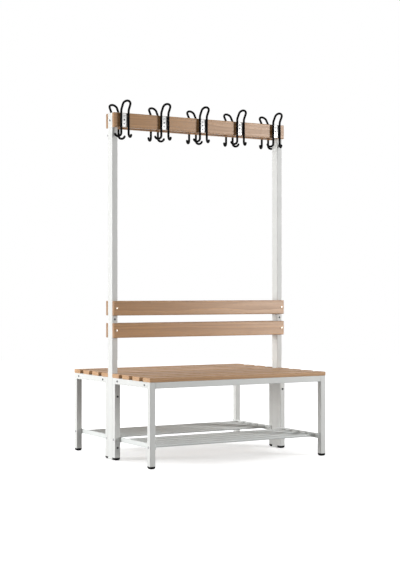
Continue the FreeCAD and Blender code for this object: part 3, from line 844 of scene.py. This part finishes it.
BOARD_TIMBER = TimberFinish(
    "lacquered_board_timber", "wood",
    pale=rgb(0.560, 0.293, 0.112), deep=rgb(0.336, 0.163, 0.052), pore=rgb(0.25, 0.14, 0.075),
    worn=rgb(0.66, 0.46, 0.30),
    smooth=0.25, rough=0.36, gloss=0.50, lacquer=0.06,
)
SEAT_TIMBER = TimberFinish(
    "satin_seat_timber", "wood",
    pale=rgb(0.70, 0.408, 0.206), deep=rgb(0.425, 0.234, 0.102), pore=rgb(0.25, 0.14, 0.075),
    worn=rgb(0.66, 0.46, 0.30),
    # The seat slats' narrow sides get painted shade, as if shaded in the gaps between them.
    smooth=0.40, rough=0.52, gloss=0.40, lacquer=0.03, end_shade=0.28, side_painted_shade=0.45,
)


# Sub-assemblies


@dataclass
class BenchFrame:
    """The welded end frames and bolted long rails of one bench."""

    side: Side
    corner: float = 0.0025
    wall: float = 0.0015
    flange: float = 0.005
    flange_softening: float = 0.0006

    def build(self) -> None:
        """Makes the legs, end rails and long rails."""
        name = self.side.value
        for end in End:
            self.tube(f"{name}_outer_leg_{end.value}", ALONG_Z)
            self.tube(f"{name}_inner_leg_{end.value}", ALONG_Z)
            self.tube(f"{name}_end_rail_{end.value}", ALONG_Y)
        self.long_rail("outer", -self.side.outward)
        self.long_rail("inner", self.side.outward)

    def tube(self, node: str, axis: int) -> None:
        """Makes one plain tube.

        Args:
            node: CAD node that it stands for.
            axis: Number of the axis that it runs along.
        """
        shell = Shell()
        shell.tube(*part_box(node), axis, self.corner, self.wall)
        shell.build(f"{node}_tube", FRAME_COAT, node)

    def long_rail(self, rank: str, flange_way: int) -> None:
        """Makes a long rail with a flange at each end.

        Args:
            rank: Outer or inner rail.
            flange_way: Sign of Y towards which the flanges reach.
        """
        node = f"{self.side.value}_{rank}_long_rail"
        low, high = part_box(node)
        size = high.z - low.z
        tube_low, tube_high = low.copy(), high.copy()
        if flange_way > 0:
            tube_high.y = low.y + size
        else:
            tube_low.y = high.y - size
        tube_low.x += self.flange
        tube_high.x -= self.flange
        shell = Shell()
        shell.tube(tube_low, tube_high, ALONG_X, self.corner, self.wall)
        for start, stop in ((low.x, tube_low.x), (tube_high.x, high.x)):
            flange_low = Vector((start, low.y, low.z))
            flange_high = Vector((stop, high.y, high.z))
            shell.block(flange_low, flange_high, ALONG_X, self.corner, self.flange_softening)
        shell.build(f"{node}_flanged_tube", FRAME_COAT, node)


@dataclass
class Boards:
    """The seat slats, backrest boards and hook board of one side."""

    side: Side
    slat_count: int = 4
    edge_radius: float = 0.004
    end_softening: float = 0.0009
    pith_nearest: float = 0.035
    pith_farthest: float = 0.10
    pith_sideways: float = 0.04
    trunk_length: float = 12.0

    def build(self) -> None:
        """Makes every board of this side."""
        name = self.side.value
        for index in range(1, self.slat_count + 1):
            self.board(f"{name}_slat_{index}", ALONG_Z, SEAT_TIMBER)
        for place in ("lower_back", "upper_back", "hook"):
            self.board(f"{name}_{place}_board", ALONG_Y, BOARD_TIMBER)

    def board(self, node: str, depth: int, finish: TimberFinish) -> None:
        """Makes one board.

        Args:
            node: CAD node that it stands for.
            depth: Number of the axis across its thickness.
            finish: Its finish.
        """
        low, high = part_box(node)
        centre = (low + high) / 2
        across = ALONG_Y + ALONG_Z - depth
        draw = random.Random(node)
        place = Vector((
            draw.uniform(0, self.trunk_length),
            draw.uniform(-self.pith_sideways, self.pith_sideways),
            draw.uniform(self.pith_nearest, self.pith_farthest),
        ))

        def grain(point: Vector) -> Vector:
            """The place of a point in the timber."""
            away = point - centre
            return place + Vector((away.x, away[across], away[depth]))

        shell = Shell(grain)
        shell.block(low, high, ALONG_X, self.edge_radius, self.end_softening)
        shell.build(f"{node}_timber", finish, node)


@dataclass
class Posts:
    """The two tall posts with their end caps."""

    corner: float = 0.0025
    wall: float = 0.0015
    cap: float = 0.003
    cap_softening: float = 0.0008
    plug_gap: float = 0.0003

    def build(self) -> None:
        """Makes the post tubes and the caps."""
        for end in End:
            node = f"post_{end.value}"
            shell = Shell()
            shell.tube(*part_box(node), ALONG_Z, self.corner, self.wall)
            shell.build(f"{node}_tube", FRAME_COAT, node)
        caps = Shell()
        for solid in solids_of("post_end_caps"):
            at_top = solid.low.z > solid.length
            flange_low, flange_high = solid.low.copy(), solid.high.copy()
            plug_low, plug_high = solid.low.copy(), solid.high.copy()
            if at_top:
                flange_low.z = plug_high.z = solid.high.z - self.cap
            else:
                flange_high.z = plug_low.z = solid.low.z + self.cap
            inset = Vector((self.wall + self.plug_gap, self.wall + self.plug_gap, 0))
            caps.block(flange_low, flange_high, ALONG_Z, self.corner, self.cap_softening)
            caps.block(plug_low + inset, plug_high - inset, ALONG_Z, self.wall, self.cap_softening)
        caps.build("post_cap_mouldings", CAP_PLASTIC, "post_end_caps")


@dataclass
class ShoeRack:
    """The shoe rack of one bench: two flat end rails and the round bars between them."""

    side: Side
    edge_radius: float = 0.0009
    end_softening: float = 0.0006
    weld: float = 0.0014
    weld_profile: tuple[tuple[float, float], ...] = ((1.0, 0.0), (0.4, 0.5), (0.0, 1.0))

    def build(self) -> None:
        """Makes the rails and the bars."""
        for end in End:
            node = f"{self.side.value}_rack_rail_{end.value}"
            shell = Shell()
            shell.block(*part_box(node), ALONG_Y, self.edge_radius, self.end_softening)
            shell.build(f"{node}_flat_bar", RACK_COAT, node)
        node = f"{self.side.value}_rack_bars"
        bars = Shell()
        for solid in solids_of(node):
            radius = (solid.high.z - solid.low.z) / 2
            start = Vector((solid.low.x, solid.centre.y, solid.centre.z))
            placement = facing(start, UNIT[ALONG_X], UNIT[ALONG_Y])
            foot = [(radius + out * self.weld, up * self.weld) for out, up in self.weld_profile]
            foot.append((radius, self.weld + SUPPORT))
            profile = foot + [(reach, solid.length - level) for reach, level in reversed(foot)]
            bars.loft([bars.ring(circle(reach), placement, level) for reach, level in profile])
        bars.build(f"{node}_round_tubes", RACK_COAT, node)


@dataclass
class Feet:
    """The moulded feet below the legs."""

    corner: float = 0.002
    height: float = 0.013
    dome: float = 0.0120
    base: float = 0.0130
    wall: float = 0.0018
    steps: int = 6
    dome_wear: float = 0.3
    rim_wear: float = 0.6

    def build(self) -> None:
        """Makes all feet as one group."""
        shell = Shell()
        for solid in solids_of("feet"):
            size = solid.high.x - solid.low.x
            origin = Vector((solid.centre.x, solid.centre.y, 0))
            placement = facing(origin, UNIT[ALONG_Z], UNIT[ALONG_X])
            plug = size - 2 * self.wall
            profile = []
            for step in range(self.steps + 1):
                angle = math.pi / 2 * step / self.steps
                width = self.base + (size - self.base) * math.sin(angle)
                profile.append((width, self.dome * (1 - math.cos(angle)), self.dome_wear))
            profile += [
                (size, self.dome + SUPPORT, 0.0),
                (size, self.height, self.rim_wear),
                (plug, self.height, 0.0),
                (plug, solid.high.z, 0.0),
            ]
            shell.loft([
                shell.ring(soft_rectangle(width, width, self.corner), placement, level, edge)
                for width, level, edge in profile
            ])
        shell.build("moulded_feet", FOOT_PLASTIC, "feet")


@dataclass
class HookRow:
    """The bent-wire coat hooks of one side, with their plates and plate screws."""

    side: Side
    wire_radius: float = 0.0057
    spacing: float = 0.041
    stand_off: float = 0.0110
    curl_radius: float = 0.016
    curl_drop: float = 0.066
    curl_sweep: float = math.radians(162)
    curl_back: float = math.radians(39)
    bend_rise: float = 0.041
    bend_radius: float = 0.025
    lean: float = math.radians(35)
    reach: float = 0.0234
    curl_steps: int = 20
    bend_steps: int = 6
    loop_steps: int = 24
    tip_steps: int = 4
    wire_sides: int = 16
    plate_corner: float = 0.003
    plate_softening: float = 0.0008
    screw_pitch: float = 0.019
    screw_length: float = 0.0045

    def build(self) -> None:
        """Makes the plates, their screws and the wires."""
        name = self.side.value
        node = f"{name}_hook_plates"
        plates = Shell()
        outer_screws, middle_screws = Shell(), Shell()
        outward = UNIT[ALONG_Y] * self.side.outward
        centres = []
        for solid in solids_of(node):
            plates.block(solid.low, solid.high, ALONG_Y, self.plate_corner, self.plate_softening)
            to_face = outward * ((solid.high.y - solid.low.y) / 2)
            centres.append(solid.centre - to_face)
            for rank in (-1, 0, 1):
                shell = outer_screws if rank else middle_screws
                seat = solid.centre + to_face + UNIT[ALONG_Z] * (rank * self.screw_pitch)
                PLATE_SCREW.add(shell, seat, outward, self.screw_length)
        plates.build(f"{name}_hook_back_plates", PLATE_COAT, node)
        outer_screws.build(f"{name}_hook_plate_screws", DULL_ZINC)
        middle_screws.build(f"{name}_hook_middle_screws", DARK_STEEL)
        for index, centre in enumerate(centres, start=1):
            self.wire(f"{name}_hook_{index}", centre)

    def wire(self, node: str, centre: Vector) -> None:
        """Makes one bent wire.

        Args:
            node: CAD node that it stands for.
            centre: Middle of its plate's back.
        """
        turn = 0.0 if self.side is Side.FRONT else math.pi
        placement = Matrix.Translation(centre) @ Matrix.Rotation(turn, 4, "Z")
        path = [placement @ point for point in self.path()]
        shell = Shell()
        sweep(shell, path, self.wire_radius, self.wire_sides, self.tip_steps)
        shell.build(f"{node}_bent_wire", HOOK_COATING, node)

    def path(self) -> list[Vector]:
        """The middle line of a wire about its plate.

        Returns:
            Points from the tip of the left curl over the top loop to the tip of the right curl.
        """
        left = self.half_path(-1)
        right = self.half_path(1)
        middle = (left[-1] + right[-1]) / 2
        rising = Vector((0, -math.sin(self.lean), math.cos(self.lean)))
        loop = []
        for step in range(1, self.loop_steps):
            angle = math.pi * step / self.loop_steps
            sideways = Vector((-math.cos(angle), 0, 0))
            loop.append(middle + (sideways + rising * math.sin(angle)) * (self.spacing / 2))
        return left + loop + right[::-1]

    def half_path(self, way: int) -> list[Vector]:
        """One half of the middle line, from a curl's tip to the foot of the loop.

        Args:
            way: Sign of X of this half.

        Returns:
            Its points.
        """
        half = self.spacing / 2
        points = []
        for step in range(self.curl_steps, -1, -1):
            angle = self.curl_sweep * step / self.curl_steps
            out = self.curl_radius * (1 - math.cos(angle))
            points.append(Vector((
                way * (half + out * math.cos(self.curl_back)),
                out * math.sin(self.curl_back) - self.stand_off,
                -self.curl_drop - self.curl_radius * math.sin(angle),
            )))
        for step in range(self.bend_steps + 1):
            angle = self.lean * step / self.bend_steps
            points.append(Vector((
                way * half,
                -self.stand_off - self.bend_radius * (1 - math.cos(angle)),
                self.bend_rise + self.bend_radius * math.sin(angle),
            )))
        points.append(points[-1] + Vector((0, -math.sin(self.lean), math.cos(self.lean))) * self.reach)
        return points


def sweep(shell: Shell, path: list[Vector], radius: float, sides: int, tip_steps: int) -> None:
    """Sweeps a round wire along a path and rounds its tips.

    Args:
        shell: Mesh that takes the wire.
        path: Points of its middle line.
        radius: Radius of the wire.
        sides: Facets around it.
        tip_steps: Rings in each rounded tip.
    """
    directions = [(after - before).normalized() for before, after in zip(path, path[1:])]
    tangents = [directions[0]]
    tangents += [(before + after).normalized() for before, after in zip(directions, directions[1:])]
    tangents.append(directions[-1])
    across = tangents[0].orthogonal().normalized()
    placements = []
    for index, (point, tangent) in enumerate(zip(path, tangents)):
        if index:
            across = tangents[index - 1].rotation_difference(tangent) @ across
        across = (across - tangent * across.dot(tangent)).normalized()
        placements.append(facing(point, tangent, across))
    body = [(placement, 0.0, radius) for placement in placements]
    tip = []
    for step in range(tip_steps):
        angle = math.pi / 2 * (1 - (step + 0.5) / (tip_steps + 0.5))
        tip.append((radius * math.sin(angle), radius * math.cos(angle)))
    start = [(placements[0], -away, reach) for away, reach in tip]
    stop = [(placements[-1], away, reach) for away, reach in reversed(tip)]
    shell.loft([
        shell.ring(circle(reach, sides), placement, away) for placement, away, reach in start + body + stop
    ])


@dataclass(frozen=True)
class Fastener:
    """A bolt, screw or plug with a low domed head."""

    head: float
    height: float
    shank: float
    recess: Recess
    recess_reach: float = 0.0
    rim: float = 0.35
    flat: float = 0.125
    mouth: float = 0.96
    floor: float = 0.86
    dome_steps: int = 4

    def add(self, shell: Shell, seat: Vector, outward: Vector, length: float) -> None:
        """Adds one to a mesh.

        Args:
            shell: Mesh that takes it.
            seat: Middle of the head's underside.
            outward: Direction from the shank to the head.
            length: Length of the shank.
        """
        placement = facing(seat, outward, outward.orthogonal().normalized())
        reach = self.recess_reach or self.flat * self.head
        levels = [(self.shank / 2, -length), (self.shank / 2, 0.0), (self.head / 2, 0.0)]
        rim_level = self.rim * self.height
        for step in range(self.dome_steps + 1):
            angle = math.pi / 2 * step / self.dome_steps
            levels.append((
                reach + (self.head / 2 - reach) * math.cos(angle),
                rim_level + (self.height - rim_level) * math.sin(angle),
            ))
        rings = [shell.ring(circle(radius), placement, level) for radius, level in levels]
        if self.recess is not Recess.NONE:
            mouth = recess_outline(self.recess, self.mouth * reach)
            floor = recess_outline(self.recess, self.floor * reach)
            rings.append(shell.ring(mouth, placement, self.height))
            rings.append(shell.ring(floor, placement, rim_level))
        shell.loft(rings)


PLATE_SCREW = Fastener(
    head=0.0085, height=0.0022, shank=0.004, recess=Recess.CROSS, recess_reach=0.0026,
)


@dataclass
class Fasteners:
    """The bolts, nuts, screws, plugs and brackets that hold the bench together."""

    bolt: Fastener = Fastener(
        head=0.0105, height=0.0033, shank=0.006, recess=Recess.HEXAGON, recess_reach=0.0025,
    )
    rack_bolt: Fastener = Fastener(
        head=0.011, height=0.003, shank=0.006, recess=Recess.HEXAGON, recess_reach=0.0026,
    )
    screw: Fastener = Fastener(
        head=0.011, height=0.003, shank=0.005, recess=Recess.CROSS, recess_reach=0.0034,
    )
    plug: Fastener = Fastener(head=0.011, height=0.0015, shank=0.008, recess=Recess.NONE)
    nut_bore: float = 0.0033
    nut_width: float = 0.0115
    bracket_wall: float = 0.003
    bracket_bend: float = 0.005
    bend_steps: int = 5
    bracket_level: float = 1.0

    def build(self) -> None:
        """Makes each group of fasteners and the brackets."""
        groups = (
            ("frame_bolts", "frame_bolt_set", self.bolt, GREY_STEEL),
            ("post_bolts", "post_bolt_set", self.bolt, DARK_STEEL),
            ("rack_bolts", "rack_bolt_set", self.rack_bolt, DULL_ZINC),
            ("slat_screws", "slat_screw_set", self.screw, ZINC),
            ("board_screws", "board_screw_set", self.screw, ZINC),
            ("post_plugs", "post_plug_set", self.plug, PLUG_PLASTIC),
        )
        bracket_bolts = Shell()
        for node, name, kind, finish in groups:
            shell = Shell()
            for solid in solids_of(node):
                on_post = node == "post_bolts"
                target = bracket_bolts if on_post and solid.low.z > self.bracket_level else shell
                if on_post and solid.length < solid.width:
                    self.nut(target, solid)
                else:
                    seat = solid.head_top() - solid.outward * kind.height
                    kind.add(target, seat, solid.outward, solid.length - kind.height)
            shell.build(name, finish, node)
        bracket_bolts.build("bracket_bolt_set", GREY_STEEL)
        self.brackets()

    def nut(self, shell: Shell, solid: Solid) -> None:
        """Adds a hexagon nut.

        Args:
            shell: Mesh that takes it.
            solid: CAD solid that it stands for.
        """
        start = solid.centre - UNIT[solid.axis] * (solid.length / 2)
        placement = facing(start, UNIT[solid.axis], UNIT[(solid.axis + 1) % 3])
        flats = recess_outline(Recess.HEXAGON, self.nut_width / 2)
        bore = circle(self.nut_bore)
        shell.loft([
            shell.ring(flats, placement, 0.0),
            shell.ring(flats, placement, solid.length),
            shell.ring(bore, placement, solid.length),
            shell.ring(bore, placement, 0.0),
        ], hollow=True)

    def brackets(self) -> None:
        """Makes the bent brackets between the hook boards."""
        shell = Shell()
        for solid in solids_of("hook_board_brackets"):
            way = 1 if solid.centre.x < 0 else -1
            root = solid.low.x if way > 0 else solid.high.x
            depth = solid.high.x - solid.low.x
            half = (solid.high.y - solid.low.y) / 2
            outer = self.channel(depth, half, self.bracket_bend)
            inset = self.bracket_wall
            inner = self.channel(depth, half - inset, self.bracket_bend - inset, inset)
            outline = [(root + way * x, y, 0.0) for x, y in outer + inner[::-1]]
            base = Matrix.Identity(4)
            shell.loft([
                shell.ring(outline, base, solid.low.z),
                shell.ring(outline, base, solid.high.z),
            ])
        shell.build("hook_board_bent_brackets", ZINC, "hook_board_brackets")

    def channel(self, depth: float, half: float, bend: float, root: float = 0.0) -> list[tuple[float, float]]:
        """One face of a bent channel, from lip to lip.

        Args:
            depth: Reach of its lips.
            half: Half its width.
            bend: Radius of its two bends.
            root: Distance of its web.

        Returns:
            The points in order.
        """
        points = [(depth, -half)]
        for way in (-1, 1):
            arc = []
            for step in range(self.bend_steps + 1):
                angle = math.pi / 2 * step / self.bend_steps
                arc.append((
                    root + bend * (1 - math.sin(angle)),
                    way * (half - bend * (1 - math.cos(angle))),
                ))
            points += arc if way < 0 else arc[::-1]
        points.append((depth, half))
        return points


# Studio


@dataclass(frozen=True)
class Softbox:
    """A rectangular lamp.

    Its level is the brightness of a white surface that faces it at the bench.
    """

    name: str
    place: Triple
    width: float
    height: float
    level: float

    def hang(self, aim: Vector) -> None:
        """Adds the lamp.

        Args:
            aim: Point that it faces.
        """
        lamp = bpy.data.lights.new(self.name, "AREA")
        lamp.shape = "RECTANGLE"
        lamp.size, lamp.size_y = self.width, self.height
        towards = aim - Vector(self.place)
        lamp.energy = self.level * math.pi ** 2 * towards.length_squared
        holder = bpy.data.objects.new(self.name, lamp)
        holder.location = self.place
        holder.rotation_euler = towards.to_track_quat("-Z", "Y").to_euler()
        bpy.context.scene.collection.objects.link(holder)


@dataclass
class Studio:
    """Floor, lamps, white surroundings and the camera of the photograph."""

    floor_radius: float = 9.0
    floor_colour: Colour = rgb(0.48, 0.48, 0.48)
    floor_shown: Colour = rgb(0.945, 0.958, 0.964)
    floor_lift: float = 0.40
    floor_roughness: float = 0.9
    shade_reach: Triple = (0.66, 0.54, 1.0)
    fade_start: float = 0.60
    fade_stop: float = 1.40
    ambient: float = 0.20
    aim: Triple = (0.0, 0.0, 0.85)
    softboxes: tuple[Softbox, ...] = (
        Softbox("left_softbox", (-6.3, 2.1, 1.30), width=2.25, height=2.25, level=0.89),
        Softbox("right_key", (3.7, -4.1, 1.60), width=1.7, height=2.2, level=0.57),
        Softbox("overhead_softbox", (-0.6, 1.8, 3.9), width=3.0, height=3.0, level=0.27),
    )
    camera_place: Triple = (-3.2995, -5.6750, 0.8382)
    camera_heading: float = 0.5283
    focal_pixels: float = 1263.56
    horizon_row: float = 291.63
    image_width: int = 400
    image_height: int = 570

    def build(self) -> None:
        """Sets up the whole studio."""
        bpy.context.scene.view_settings.view_transform = "Standard"
        self.floor()
        self.surroundings()
        for softbox in self.softboxes:
            softbox.hang(Vector(self.aim))
        self.camera()

    @staticmethod
    def seen(desk: NodeDesk) -> bpy.types.NodeSocket:
        """A mask of the rays that show the surroundings.

        Args:
            desk: The nodes of the floor or the surroundings.

        Returns:
            One for camera, glossy and transmission rays, else zero.
        """
        paths = desk.add("ShaderNodeLightPath").outputs
        shown = desk.reckon("MAXIMUM", paths["Is Camera Ray"], paths["Is Glossy Ray"])
        return desk.reckon("MAXIMUM", shown, paths["Is Transmission Ray"])

    def floor(self) -> None:
        """Makes the pale floor, which turns into white away from the bench."""
        material = bpy.data.materials.new("pale_studio_floor")
        material.use_nodes = True
        desk = NodeDesk(material.node_tree)
        shader = material.node_tree.nodes["Principled BSDF"]
        place = desk.add("ShaderNodeTexCoord").outputs["Object"]
        place = desk.stretch(place, tuple(1 / reach for reach in self.shade_reach))
        distance = desk.add("ShaderNodeVectorMath", {0: place}, operation="LENGTH").outputs["Value"]
        lift = desk.span(distance, self.fade_start, self.fade_stop, low=self.floor_lift)
        seen = self.seen(desk)
        glow = desk.reckon("MULTIPLY", lift, seen)
        desk.feed(shader, "Base Color", desk.blend(seen, self.floor_colour, self.floor_shown))
        desk.feed(shader, "Roughness", self.floor_roughness)
        desk.feed(shader, "Specular IOR Level", 0.0)
        desk.feed(shader, "Emission Color", glow)
        desk.feed(shader, "Emission Strength", 1.0)
        mesh = bpy.data.meshes.new("studio_floor")
        rim = [Vector((across, up, 0)) for across, up, _ in circle(self.floor_radius)]
        mesh.from_pydata(rim, [], [tuple(range(len(rim)))])
        mesh.materials.append(material)
        floor = bpy.data.objects.new("studio_floor", mesh)
        bpy.context.scene.collection.objects.link(floor)

    def surroundings(self) -> None:
        """Makes the surroundings white where they show and soft where they light the bench."""
        world = bpy.data.worlds.new("white_surroundings")
        world.use_nodes = True
        bpy.context.scene.world = world
        desk = NodeDesk(world.node_tree)
        backdrop = world.node_tree.nodes["Background"]
        strength = desk.span(self.seen(desk), start=0.0, stop=1.0, low=self.ambient)
        desk.feed(backdrop, "Color", rgb(1, 1, 1))
        desk.feed(backdrop, "Strength", strength)

    def camera(self) -> None:
        """Adds the level camera of the photograph."""
        lens = bpy.data.cameras.new("photo_camera")
        long_side = max(self.image_width, self.image_height)
        lens.lens = lens.sensor_width * self.focal_pixels / long_side
        lens.shift_y = (self.horizon_row - self.image_height / 2) / long_side
        holder = bpy.data.objects.new("photo_camera", lens)
        holder.location = self.camera_place
        holder.rotation_euler = (math.pi / 2, 0, -self.camera_heading)
        bpy.context.scene.collection.objects.link(holder)
        bpy.context.scene.camera = holder


def main() -> None:
    """Builds every sub-assembly and the studio, and notes the sizes."""
    logging.basicConfig(level=logging.INFO, format="%(message)s")
    for side in Side:
        BenchFrame(side).build()
        Boards(side).build()
        ShoeRack(side).build()
        HookRow(side).build()
    Posts().build()
    Feet().build()
    Fasteners().build()
    Studio().build()


if __name__ == "__main__":
    main()
